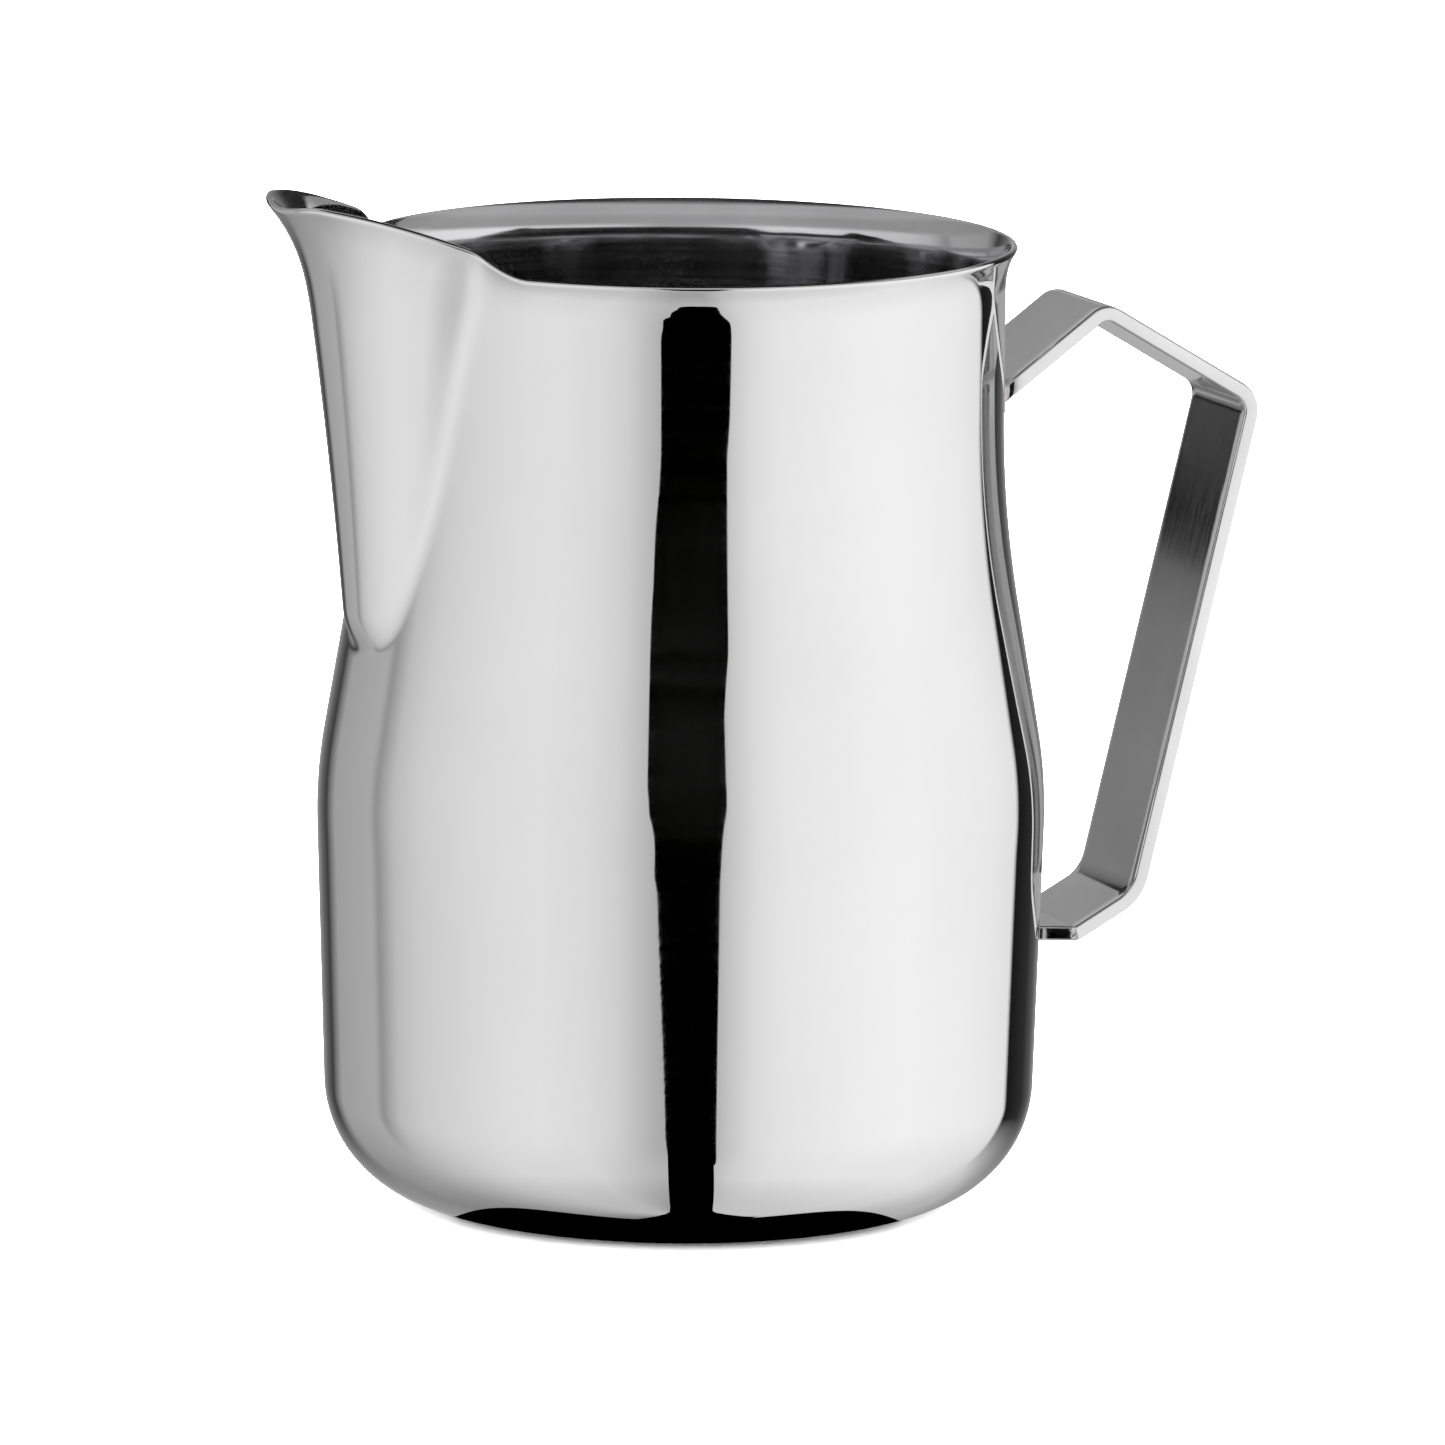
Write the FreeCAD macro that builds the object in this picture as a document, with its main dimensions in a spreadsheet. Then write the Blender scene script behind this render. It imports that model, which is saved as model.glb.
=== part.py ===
import FreeCAD, Part
import math
import os
import Sketcher
from FreeCAD import Vector

# Milk frothing pitcher: a drawn steel shell with a pressed spout, a bent strip handle and its welds.
# Millimetres, +Z up, origin at the centre of the base. The spout points along -X, the handle along +X.

doc = FreeCAD.newDocument("milk_pitcher")

# ---------------------------------------------------------------- driving dimensions

DIMENSIONS = [
    ("sheet_gauge", 0.9, "wall of the drawn shell"),
    ("heel_radius", 46.4, "belly line run down to the base plane"),
    ("heel_bend", 16.0, "radius between base and belly"),
    ("shoulder_radius", 48.15, "belly line meets neck cone"),
    ("shoulder_height", 56.3, ""),
    ("shoulder_bend", 65.0, "rounding of the shoulder"),
    ("neck_radius", 42.0, "straight neck"),
    ("neck_height", 92.5, "neck cone meets straight neck"),
    ("neck_bend", 150.0, "rounding under the neck"),
    ("rim_height", 127.0, "edge of the round rim"),
    ("rim_flare", 1.7, "how far the round rim turns out"),
    ("rim_flare_depth", 7.0, "height of the turned-out band"),
    ("spout_rise", 7.9, "spout's edge above the round rim"),
    ("spout_span", 41.0, "degrees from the tip to the level rim"),
    ("spout_foot", 75.5, "lowest point of the spout"),
    ("spout_foot_reach", 46.45, "spout's ridge line at that height"),
    ("spout_lean", 0.072, "outward slope of the ridge at its foot"),
    ("spout_bow", 0.00072, "how the ridge curves outward, per mm"),
    ("spout_foot_roll", 5.0, "height over which the foot rolls in"),
    ("spout_foot_drop", 1.2, "how far the foot rolls in"),
    ("spout_nose_low", 11.5, "ridge radius at the foot"),
    ("spout_nose_high", 21.5, "ridge radius at the rim"),
    ("spout_flank_low", 36.5, "half angle between the spout's flanks at the foot"),
    ("spout_flank_high", 21.2, "and at the rim"),
    ("spout_valley_low", 1.3, "softness of the valley at the foot"),
    ("spout_valley_high", 2.8, "softness of the valley at the rim"),
    ("spout_flare", 4.25, "how far the tip's lip turns out"),
    ("spout_flare_depth", 17.4, "height of the tip's lip"),
    ("spout_flare_focus", 10.0, "how strongly the wide lip gathers at the tip"),
    ("spout_crown", 2.0, "how fast the rim climbs towards the tip"),
    ("spout_crown_round", 3.0, "how broad the top of that climb is"),
    ("spout_droop", 1.1, "how far the turned-out tip bends down"),
    ("spout_droop_span", 10.0, "degrees to each side of the tip"),
    ("strip_width", 18.0, "handle bar"),
    ("strip_gauge", 2.0, ""),
    ("crest_reach", 56.3, "upper bend of the handle"),
    ("crest_height", 118.0, ""),
    ("crest_slope", 36.3, "degrees, from the neck up to the crest"),
    ("elbow_reach", 79.1, "outermost bend"),
    ("elbow_height", 104.5, ""),
    ("knee_reach", 62.8, "lower bend"),
    ("knee_height", 37.3, ""),
    ("toe_reach", 53.5, "where the toe levels out"),
    ("toe_height", 32.2, "underside of the toe"),
    ("root_reach", 38.0, "where the bar is trimmed, inside the wall"),
    ("toe_taper", 24.0, "degrees, narrowing of the toe"),
    ("crest_bend", 3.5, "outer bend radii"),
    ("elbow_bend", 4.5, ""),
    ("knee_bend", 7.0, ""),
    ("toe_bend", 3.5, ""),
    ("edge_round", 0.35, "broken long edges of the bar"),
    ("weld_radius", 0.8, "fillet weld along the bar's ends"),
]

sheet = doc.addObject("Spreadsheet::Sheet", "dimensions")
for row, (alias, value, note) in enumerate(DIMENSIONS, start=1):
    sheet.set(f"A{row}", alias)
    sheet.set(f"B{row}", str(value))
    sheet.set(f"C{row}", note)
    sheet.setAlias(f"B{row}", alias)
doc.recompute()


def size(alias):
    """Value of one driving dimension."""
    return float(sheet.get(alias))


# ---------------------------------------------------------------- shell: outline of revolution

GAUGE = size("sheet_gauge")
RIM = size("rim_height")
HEEL = Vector(size("heel_radius"), 0, 0)
SHOULDER = Vector(size("shoulder_radius"), 0, size("shoulder_height"))
NECK = Vector(size("neck_radius"), 0, size("neck_height"))
NECK_TOP = Vector(size("neck_radius"), 0, RIM)


def rounded_corner(before, corner, after, radius):
    """Centre and the two tangent points of an arc that rounds a corner of the outline."""
    towards = (before - corner).normalize()
    away = (after - corner).normalize()
    half_angle = towards.getAngle(away) / 2
    setback = radius / math.tan(half_angle)
    centre = corner + (towards + away).normalize() * (radius / math.sin(half_angle))
    return centre, corner + towards * setback, corner + away * setback


HEEL_ARC = rounded_corner(Vector(0, 0, 0), HEEL, SHOULDER, size("heel_bend"))
SHOULDER_ARC = rounded_corner(HEEL, SHOULDER, NECK, size("shoulder_bend"))
NECK_ARC = rounded_corner(SHOULDER, NECK, NECK_TOP, size("neck_bend"))


def on_line(start, end, height):
    """Radius of a straight stretch of the outline at one height."""
    return start.x + (end.x - start.x) * (height - start.z) / (end.z - start.z)


def on_arc(arc, height):
    """Radius of a rounded corner of the outline at one height."""
    centre, _, second = arc
    radius = (second - centre).Length
    side = math.copysign(1.0, second.x - centre.x)
    return centre.x + side * math.sqrt(radius ** 2 - (height - centre.z) ** 2)


def round_radius(height):
    """Outer radius of the round shell, without spout and rim flare."""
    if height < HEEL_ARC[2].z:
        return on_arc(HEEL_ARC, height)
    if height < SHOULDER_ARC[1].z:
        return on_line(HEEL, SHOULDER, height)
    if height < SHOULDER_ARC[2].z:
        return on_arc(SHOULDER_ARC, height)
    if height < NECK_ARC[1].z:
        return on_line(SHOULDER, NECK, height)
    if height < NECK_ARC[2].z:
        return on_arc(NECK_ARC, height)
    return NECK.x


# ---------------------------------------------------------------- shell: pressed spout

SPAN = math.radians(size("spout_span"))
FOOT = size("spout_foot")


def spout_share(angle):
    """1 at the spout's tip, falling smoothly to 0 where the rim is level."""
    if angle >= SPAN:
        return 0.0
    return (1 - (angle / SPAN) ** size("spout_crown_round")) ** size("spout_crown")


def ridge_reach(height):
    """Distance of the spout's ridge from the pitcher's axis."""
    above = height - FOOT
    reach = size("spout_foot_reach") + size("spout_lean") * above + size("spout_bow") * above ** 2
    roll = max(0.0, 1 - above / size("spout_foot_roll"))
    return reach - size("spout_foot_drop") * roll ** 2


def between(low, high, height):
    """Value that grows evenly from the spout's foot to the round rim."""
    share = (height - FOOT) / (RIM - FOOT)
    return size(low) + (size(high) - size(low)) * share


def spout_radius(angle, height):
    """Radius of a round nose with two straight flanks, seen from the pitcher's axis."""
    nose = between("spout_nose_low", "spout_nose_high", height)
    centre = ridge_reach(height) - nose
    facing = math.radians(90 - between("spout_flank_low", "spout_flank_high", height))
    tangent_angle = math.atan2(nose * math.sin(facing), centre + nose * math.cos(facing))
    if angle < tangent_angle:
        return centre * math.cos(angle) + math.sqrt(nose ** 2 - (centre * math.sin(angle)) ** 2)
    lean = angle - facing
    if lean > math.pi / 2 - 0.05:
        return 0.0
    return (nose + centre * math.cos(facing)) / math.cos(lean)


def soft_maximum(first, second, softness):
    """Larger of two radii, with the corner between them filled by a smooth valley."""
    overlap = max(softness - abs(first - second), 0.0) / softness
    return max(first, second) + overlap ** 3 * softness / 6


def section_radius(angle, height):
    """Outer radius of the shell, spout included, without the lip's flare."""
    body = round_radius(height)
    if height <= FOOT - size("spout_foot_roll") or angle > math.pi / 2:
        return body
    softness = max(between("spout_valley_low", "spout_valley_high", height), size("spout_valley_low"))
    return soft_maximum(body, spout_radius(angle, height), softness)


# ---------------------------------------------------------------- shell: skin as a grid of points

HEEL_CENTRE, _, BELLY_FOOT = HEEL_ARC
HEEL_TURN = math.pi / 2 + math.atan2(HEEL.x - SHOULDER.x, SHOULDER.z)
HEEL_LENGTH = size("heel_bend") * HEEL_TURN
BELLY_START = BELLY_FOOT.z
CLIMB_TOP = RIM - BELLY_START
STRETCH_FROM = 100.0
NUDGE = 1e-4


def rim_edge(angle):
    """Height of the rim, which climbs towards the spout and bends down a little at its tip."""
    across = abs(angle) / math.radians(size("spout_droop_span"))
    droop = max(0.0, 1 - across ** 2) ** 2
    return RIM + size("spout_rise") * spout_share(angle) - size("spout_droop") * droop


def flare(angle, height):
    """How far the lip turns out at one height."""
    share = spout_share(angle)
    depth = size("rim_flare_depth") + (size("spout_flare_depth") - size("rim_flare_depth")) * share
    focused = share ** size("spout_flare_focus")
    reach = size("rim_flare") + (size("spout_flare") - size("rim_flare")) * focused
    return reach * max(0.0, 1 - (rim_edge(angle) - height) / depth) ** 3


def outer_point(angle, climb):
    """Point of the outer skin; climb is 0 where the belly starts and negative round the heel."""
    if climb < 0:
        turn = HEEL_TURN + climb / size("heel_bend")
        radius = HEEL_CENTRE.x + size("heel_bend") * math.sin(turn)
        height = size("heel_bend") * (1 - math.cos(turn))
        return Vector(-radius * math.cos(angle), radius * math.sin(angle), height)
    side = abs(angle)
    height = BELLY_START + climb
    if height > STRETCH_FROM:
        stretch = (rim_edge(side) - STRETCH_FROM) / (RIM - STRETCH_FROM)
        height = STRETCH_FROM + (height - STRETCH_FROM) * stretch
    radius = section_radius(side, height)
    change = section_radius(abs(angle + NUDGE), height) - section_radius(abs(angle - NUDGE), height)
    slope = change / (2 * NUDGE)
    outward = Vector(slope * math.sin(angle) + radius * math.cos(angle),
                     radius * math.sin(angle) - slope * math.cos(angle), 0).normalize()
    turned_out = flare(side, height)
    return Vector(-radius * math.cos(angle) - turned_out * outward.x,
                  radius * math.sin(angle) + turned_out * outward.y, height)


def outward_normal(angle, climb):
    """Unit normal of the outer skin."""
    around = outer_point(angle + NUDGE, climb) - outer_point(angle - NUDGE, climb)
    upward = outer_point(angle, climb + NUDGE) - outer_point(angle, climb - NUDGE)
    return upward.cross(around).normalize()


def inner_point(angle, climb):
    """Point of the inner skin, one gauge inside the outer skin."""
    return outer_point(angle, climb) - outward_normal(angle, climb) * GAUGE


def steps(start, end, count):
    """Evenly spaced values from start to end."""
    return [start + (end - start) * i / count for i in range(count + 1)]


COLUMN_COUNT = 60
CROWDING = 1.5
HALF_COLUMNS = [math.pi * (i / COLUMN_COUNT) ** CROWDING for i in range(COLUMN_COUNT + 1)]
COLUMNS = [-angle for angle in reversed(HALF_COLUMNS[1:])] + HALF_COLUMNS
SPOUT_START = FOOT - 9 - BELLY_START
SPOUT_SHAPED = FOOT + 12 - BELLY_START
LIP_START = 112 - BELLY_START
ROWS = (steps(-HEEL_LENGTH, 0, 10) + steps(0, SPOUT_START, 20)[1:]
        + steps(SPOUT_START, SPOUT_SHAPED, 20)[1:] + steps(SPOUT_SHAPED, LIP_START, 12)[1:]
        + steps(LIP_START, CLIMB_TOP, 15)[1:])


def spline_through(points, parameters, closed):
    """Cubic spline through points at given parameters."""
    curve = Part.BSplineCurve()
    curve.interpolate(Points=points, Parameters=parameters, PeriodicFlag=closed)
    return curve


def skin(point, base_height):
    """Closed spline surface through a skin's points, with its seam on the handle's side."""
    grid = [[point(angle, climb) for angle in COLUMNS[:-1]] for climb in ROWS]
    for corner in grid[0]:
        corner.z = base_height
    rings = [spline_through(line, COLUMNS, True) for line in grid]
    ring_poles = [ring.getPoles() for ring in rings]
    meridians = [spline_through(list(poles), ROWS, False) for poles in zip(*ring_poles)]
    surface = Part.BSplineSurface()
    surface.buildFromPolesMultsKnots(
        [meridian.getPoles() for meridian in meridians],
        rings[0].getMultiplicities(), meridians[0].getMultiplicities(),
        rings[0].getKnots(), meridians[0].getKnots(), True, False, 3, 3)
    return surface.toShape()


def lowest_edge(face):
    """Edge of a skin round the base."""
    return min(face.Edges, key=lambda edge: edge.BoundBox.ZMax)


def highest_edge(face):
    """Edge of a skin along the rim."""
    return max(face.Edges, key=lambda edge: edge.BoundBox.ZMin)


outer_skin = skin(outer_point, 0.0)
inner_skin = skin(inner_point, GAUGE)
rim_band = Part.makeRuledSurface(highest_edge(outer_skin), highest_edge(inner_skin))
discs = [Part.Face(Part.Wire([lowest_edge(face)])) for face in (outer_skin, inner_skin)]
shell = Part.makeShell([outer_skin, inner_skin, rim_band] + discs)
shell.sewShape()
body_solid = Part.makeSolid(shell)
if body_solid.Volume < 0:
    body_solid.reverse()

pitcher_body = doc.addObject("Part::Feature", "pitcher_body")
pitcher_body.Shape = body_solid
pitcher_body.Placement = FreeCAD.Placement()
pitcher_body.Label = "pitcher_body"


# ---------------------------------------------------------------- round wall that trims the bar's ends

HALF_TURN = FreeCAD.Placement(Vector(0, 0, 0), FreeCAD.Rotation(Vector(0, 0, 1), 180))
neck_plug = doc.addObject("Part::Cylinder", "neck_plug")
neck_plug.Placement = HALF_TURN
neck_plug.setExpression("Radius", "dimensions.neck_radius")
neck_plug.setExpression("Height", "dimensions.rim_height - dimensions.neck_height")
neck_plug.setExpression("Placement.Base.z", "dimensions.neck_height")
belly_plug = doc.addObject("Part::Cone", "belly_plug")
belly_plug.Placement = HALF_TURN
belly_plug.setExpression("Radius1", "dimensions.heel_radius")
belly_plug.setExpression("Radius2", "dimensions.shoulder_radius")
belly_plug.setExpression("Height", "dimensions.shoulder_height")


# ---------------------------------------------------------------- handle: bent flat bar

def origin_plane(body, role):
    """One of a body's own origin planes."""
    return next(feature for feature in body.Origin.OriginFeatures if feature.Role == role)


def offset_corner(before, corner, after, distance):
    """Matching corner of the line that runs inside a bent line, at a distance from it."""
    arriving = (corner - before).normalize()
    leaving = (after - corner).normalize()
    middle = (arriving + leaving).normalize()
    half_turn = arriving.getAngle(leaving) / 2
    return corner + Vector(middle.z, 0, -middle.x) * (distance / math.cos(half_turn))


STRIP = size("strip_gauge")
CREST = Vector(size("crest_reach"), 0, size("crest_height"))
ELBOW = Vector(size("elbow_reach"), 0, size("elbow_height"))
KNEE = Vector(size("knee_reach"), 0, size("knee_height"))
TOE = Vector(size("toe_reach"), 0, size("toe_height"))
CREST_RUN = CREST.x - size("root_reach")
CREST_SLOPE = math.radians(size("crest_slope"))
UPPER_ROOT = CREST - Vector(CREST_RUN, 0, CREST_RUN * math.tan(CREST_SLOPE))
LOWER_ROOT = Vector(size("root_reach"), 0, size("toe_height"))
OUTER_PATH = [UPPER_ROOT, CREST, ELBOW, KNEE, TOE, LOWER_ROOT]
INNER_BENDS = [offset_corner(*OUTER_PATH[i:i + 3], STRIP) for i in range(4)]
INNER_PATH = ([UPPER_ROOT - Vector(0, 0, STRIP / math.cos(CREST_SLOPE))] + INNER_BENDS
              + [LOWER_ROOT + Vector(0, 0, STRIP)])

strip_blank = doc.addObject("PartDesign::Body", "strip_blank")
outline = strip_blank.newObject("Sketcher::SketchObject", "strip_outline")
outline.AttachmentSupport = (origin_plane(strip_blank, "XZ_Plane"), [""])
outline.MapMode = "FlatFace"
loop = OUTER_PATH + INNER_PATH[::-1]
for start, end in zip(loop, loop[1:] + loop[:1]):
    outline.addGeometry(Part.LineSegment(Vector(start.x, start.z, 0), Vector(end.x, end.z, 0)))
SIDES = len(loop)
for side in range(SIDES):
    outline.addConstraint(Sketcher.Constraint("Coincident", side, 2, (side + 1) % SIDES, 1))
OUTER_SIDES = len(OUTER_PATH) - 1
INNER_START = len(OUTER_PATH)


def bind(constraint, expression):
    """Adds a dimension to the outline and ties it to the sheet."""
    index = outline.addConstraint(constraint)
    outline.setExpression(f"Constraints[{index}]", expression)


for side, name in enumerate(["crest", "elbow", "knee", "toe"]):
    bend = OUTER_PATH[side + 1]
    bind(Sketcher.Constraint("DistanceX", -1, 1, side, 2, bend.x), f"dimensions.{name}_reach")
    bind(Sketcher.Constraint("DistanceY", -1, 1, side, 2, bend.z), f"dimensions.{name}_height")
bind(Sketcher.Constraint("Angle", 0, CREST_SLOPE), "dimensions.crest_slope * 1 deg")
bind(Sketcher.Constraint("DistanceX", -1, 1, 0, 1, UPPER_ROOT.x), "dimensions.root_reach")
bind(Sketcher.Constraint("DistanceX", -1, 1, OUTER_SIDES - 1, 2, LOWER_ROOT.x), "dimensions.root_reach")
outline.addConstraint(Sketcher.Constraint("Horizontal", OUTER_SIDES - 1))
outline.addConstraint(Sketcher.Constraint("Vertical", OUTER_SIDES))
outline.addConstraint(Sketcher.Constraint("Vertical", SIDES - 1))
for side in range(OUTER_SIDES):
    beside = SIDES - 2 - side
    outline.addConstraint(Sketcher.Constraint("Parallel", side, beside))
    bind(Sketcher.Constraint("Distance", beside, 2, side, STRIP), "dimensions.strip_gauge")

pad = strip_blank.newObject("PartDesign::Pad", "strip_pad")
pad.Profile = outline
pad.SideType = "Symmetric"
pad.setExpression("Length", "dimensions.strip_width")
doc.recompute()


def edges_across(shape, place):
    """Names of the edges that cross the bar at one bend of its outline."""
    return [f"Edge{number}" for number, edge in enumerate(shape.Edges, start=1)
            if all(abs(vertex.X - place.x) < 1e-3 and abs(vertex.Z - place.z) < 1e-3
                   for vertex in edge.Vertexes) and edge.Length > size("strip_width") / 2]


last_feature = pad
for index, name in enumerate(["crest", "elbow", "knee", "toe"]):
    for place, radius in ((OUTER_PATH[index + 1], f"dimensions.{name}_bend"),
                          (INNER_PATH[index + 1], f"dimensions.{name}_bend - dimensions.strip_gauge")):
        bend = strip_blank.newObject("PartDesign::Fillet", f"{name}_bend")
        bend.Base = (last_feature, edges_across(last_feature.Shape, place))
        bend.setExpression("Radius", radius)
        doc.recompute()
        last_feature = bend

long_edges = [f"Edge{number}" for number, edge in enumerate(last_feature.Shape.Edges, start=1)
              if all(abs(abs(vertex.Y) - size("strip_width") / 2) < 1e-3 for vertex in edge.Vertexes)
              and edge.CenterOfMass.x > size("root_reach") + 1e-3
              and abs(abs(edge.CenterOfMass.y) - size("strip_width") / 2) < 1e-3]
broken = strip_blank.newObject("PartDesign::Fillet", "broken_edges")
broken.Base = (last_feature, long_edges)
broken.setExpression("Radius", "dimensions.edge_round")
doc.recompute()

HALF_WIDTH = size("strip_width") / 2
TAPER_RUN = TOE.x - size("root_reach")
taper = strip_blank.newObject("Sketcher::SketchObject", "toe_taper_outline")
taper.AttachmentSupport = (origin_plane(strip_blank, "XY_Plane"), [""])
taper.MapMode = "FlatFace"
for side in (1, -1):
    narrow = HALF_WIDTH - TAPER_RUN * math.tan(math.radians(size("toe_taper")))
    corners = [Vector(TOE.x, side * HALF_WIDTH, 0), Vector(LOWER_ROOT.x, side * HALF_WIDTH, 0),
               Vector(LOWER_ROOT.x, side * narrow, 0)]
    first = taper.GeometryCount
    for start, end in zip(corners, corners[1:] + corners[:1]):
        taper.addGeometry(Part.LineSegment(start, end))
    for corner in range(3):
        meeting = (first + corner, 2, first + (corner + 1) % 3, 1)
        taper.addConstraint(Sketcher.Constraint("Coincident", *meeting))
    taper.addConstraint(Sketcher.Constraint("Vertical", first + 1))
    taper.addConstraint(Sketcher.Constraint("Horizontal", first))
    for name, constraint in (
            ("toe_reach", Sketcher.Constraint("DistanceX", -1, 1, first, 1, TOE.x)),
            ("root_reach", Sketcher.Constraint("DistanceX", -1, 1, first, 2, LOWER_ROOT.x))):
        index = taper.addConstraint(constraint)
        taper.setExpression(f"Constraints[{index}]", f"dimensions.{name}")
    index = taper.addConstraint(Sketcher.Constraint("DistanceY", -1, 1, first, 1, side * HALF_WIDTH))
    taper.setExpression(f"Constraints[{index}]", f"dimensions.strip_width / 2 * {side}")
    index = taper.addConstraint(Sketcher.Constraint("DistanceY", -1, 1, first + 1, 2, side * narrow))
    cut_in = "(dimensions.toe_reach - dimensions.root_reach) * tan(dimensions.toe_taper * 1 deg)"
    taper.setExpression(f"Constraints[{index}]", f"(dimensions.strip_width / 2 - {cut_in}) * {side}")
pocket = strip_blank.newObject("PartDesign::Pocket", "toe_taper")
pocket.Profile = taper
pocket.Reversed = True
pocket.setExpression("Length", "dimensions.toe_height + dimensions.strip_gauge * 2")
doc.recompute()
strip_blank.Tip = pocket

upper_trimmed = doc.addObject("Part::Cut", "upper_trimmed")
upper_trimmed.Base = strip_blank
upper_trimmed.Tool = neck_plug
handle_strip = doc.addObject("Part::Cut", "handle_strip")
handle_strip.Base = upper_trimmed
handle_strip.Tool = belly_plug
handle_strip.Placement = FreeCAD.Placement()
doc.recompute()


# ---------------------------------------------------------------- weld beads round the bar's ends

BEAD = size("weld_radius")


def bead_sleeve(half_width, tilt, corner):
    """Rounded block round the bar's end; its upper face lies one bead above the given corner."""
    block = Part.makeBox(3 * STRIP * STRIP, 2 * half_width, STRIP + 2 * BEAD,
                         Vector(0, -half_width, -STRIP - BEAD))
    long_edges = [edge for edge in block.Edges if abs(edge.tangentAt(0).x) > 0.99]
    block = block.makeFillet(BEAD, long_edges)
    block.rotate(Vector(0, 0, 0), Vector(0, 1, 0), -tilt)
    block.translate(corner)
    return block


def weld_bead(sleeve, wall, grown_wall):
    """The part of the sleeve that stands free of the wall and of the bar."""
    return sleeve.common(grown_wall).cut(wall).cut(handle_strip.Shape)


grown_neck = Part.makeCylinder(size("neck_radius") + BEAD, RIM - NECK.z, Vector(0, 0, NECK.z))
grown_belly = Part.makeCone(HEEL.x + BEAD, SHOULDER.x + BEAD, SHOULDER.z)
for grown in (grown_neck, grown_belly):
    grown.rotate(Vector(0, 0, 0), Vector(0, 0, 1), 180)
toe_half_width = HALF_WIDTH - (TOE.x - round_radius(TOE.z)) * math.tan(math.radians(size("toe_taper")))
upper_shape = weld_bead(bead_sleeve(HALF_WIDTH + BEAD, size("crest_slope"), UPPER_ROOT),
                        neck_plug.Shape, grown_neck)
lower_shape = weld_bead(bead_sleeve(toe_half_width + 1.5 * BEAD, 0, LOWER_ROOT + Vector(0, 0, STRIP)),
                        belly_plug.Shape, grown_belly)
for name, shape in (("upper_weld", upper_shape), ("lower_weld", lower_shape)):
    weld = doc.addObject("Part::Feature", name)
    weld.Shape = shape.Solids[0]
    weld.Placement = FreeCAD.Placement()
doc.recompute()


# ---------------------------------------------------------------- checks and hand-over

if pocket.Shape.Volume >= broken.Shape.Volume:
    raise RuntimeError("the toe taper removed nothing")
for item in doc.Objects:
    if "Invalid" in item.State or "Error" in item.State:
        raise RuntimeError(f"{item.Label} did not compute: {item.State}")
os.makedirs("parts", exist_ok=True)
for node in ("pitcher_body", "handle_strip", "upper_weld", "lower_weld"):
    part = doc.getObjectsByLabel(node)[0]
    if part.Shape.isNull() or not part.Shape.isValid() or len(part.Shape.Solids) != 1:
        raise RuntimeError(f"{node} is not one valid solid")
    part.Shape.exportStep(f"parts/{node}.step")
    print(f"{node}: {part.Shape.Volume:.1f} mm3")
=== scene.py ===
import math

import bpy
import numpy as np
from mathutils import Matrix, Vector


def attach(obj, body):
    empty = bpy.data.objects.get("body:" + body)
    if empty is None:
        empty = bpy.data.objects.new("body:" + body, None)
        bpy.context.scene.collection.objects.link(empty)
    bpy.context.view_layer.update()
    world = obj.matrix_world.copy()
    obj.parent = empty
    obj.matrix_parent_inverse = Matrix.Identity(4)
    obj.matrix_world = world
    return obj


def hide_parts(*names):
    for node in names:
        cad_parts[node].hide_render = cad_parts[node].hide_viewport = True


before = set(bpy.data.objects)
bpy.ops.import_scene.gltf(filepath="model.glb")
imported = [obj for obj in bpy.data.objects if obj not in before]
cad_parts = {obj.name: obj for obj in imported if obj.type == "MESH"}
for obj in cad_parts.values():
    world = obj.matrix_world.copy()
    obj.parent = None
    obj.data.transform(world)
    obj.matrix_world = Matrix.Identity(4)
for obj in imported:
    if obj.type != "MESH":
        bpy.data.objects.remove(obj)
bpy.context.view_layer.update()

MM = 0.001
RIDES_ON = "root"
scene = bpy.context.scene


# ---------------------------------------------------------------- camera

CAMERA_AZIMUTH = math.radians(21.5)
CAMERA_ELEVATION = math.radians(9.76)
CAMERA_DISTANCE = 1.8
CAMERA_ROLL = math.radians(0.539)
CAMERA_LENS = 340.4
PIVOT_HEIGHT = 0.064
AIM_RIGHT = 0.0054
AIM_HEIGHT = 0.06324

RIGHT = Vector((math.cos(CAMERA_AZIMUTH), -math.sin(CAMERA_AZIMUTH), 0))
AWAY = Vector((math.sin(CAMERA_AZIMUTH), math.cos(CAMERA_AZIMUTH), 0))
UP = Vector((0, 0, 1))


def staged(right, away, height):
    """Point given from the camera's side: to its right, away from it, and above the floor."""
    return RIGHT * right + AWAY * away + UP * height


camera = bpy.data.objects.new("camera", bpy.data.cameras.new("camera"))
scene.collection.objects.link(camera)
scene.camera = camera
camera.data.lens = CAMERA_LENS
camera.data.sensor_width = 36
camera.data.clip_start = 0.05
camera.data.clip_end = 60
camera.location = staged(0, -CAMERA_DISTANCE * math.cos(CAMERA_ELEVATION),
                         PIVOT_HEIGHT + CAMERA_DISTANCE * math.sin(CAMERA_ELEVATION))
towards = staged(AIM_RIGHT, 0, AIM_HEIGHT) - camera.location
aim = towards.to_track_quat("-Z", "Y").to_matrix()
camera.rotation_mode = "QUATERNION"
camera.rotation_quaternion = (aim @ Matrix.Rotation(CAMERA_ROLL, 3, "Z")).to_quaternion()


# ---------------------------------------------------------------- body: the same form as the frame's

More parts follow.
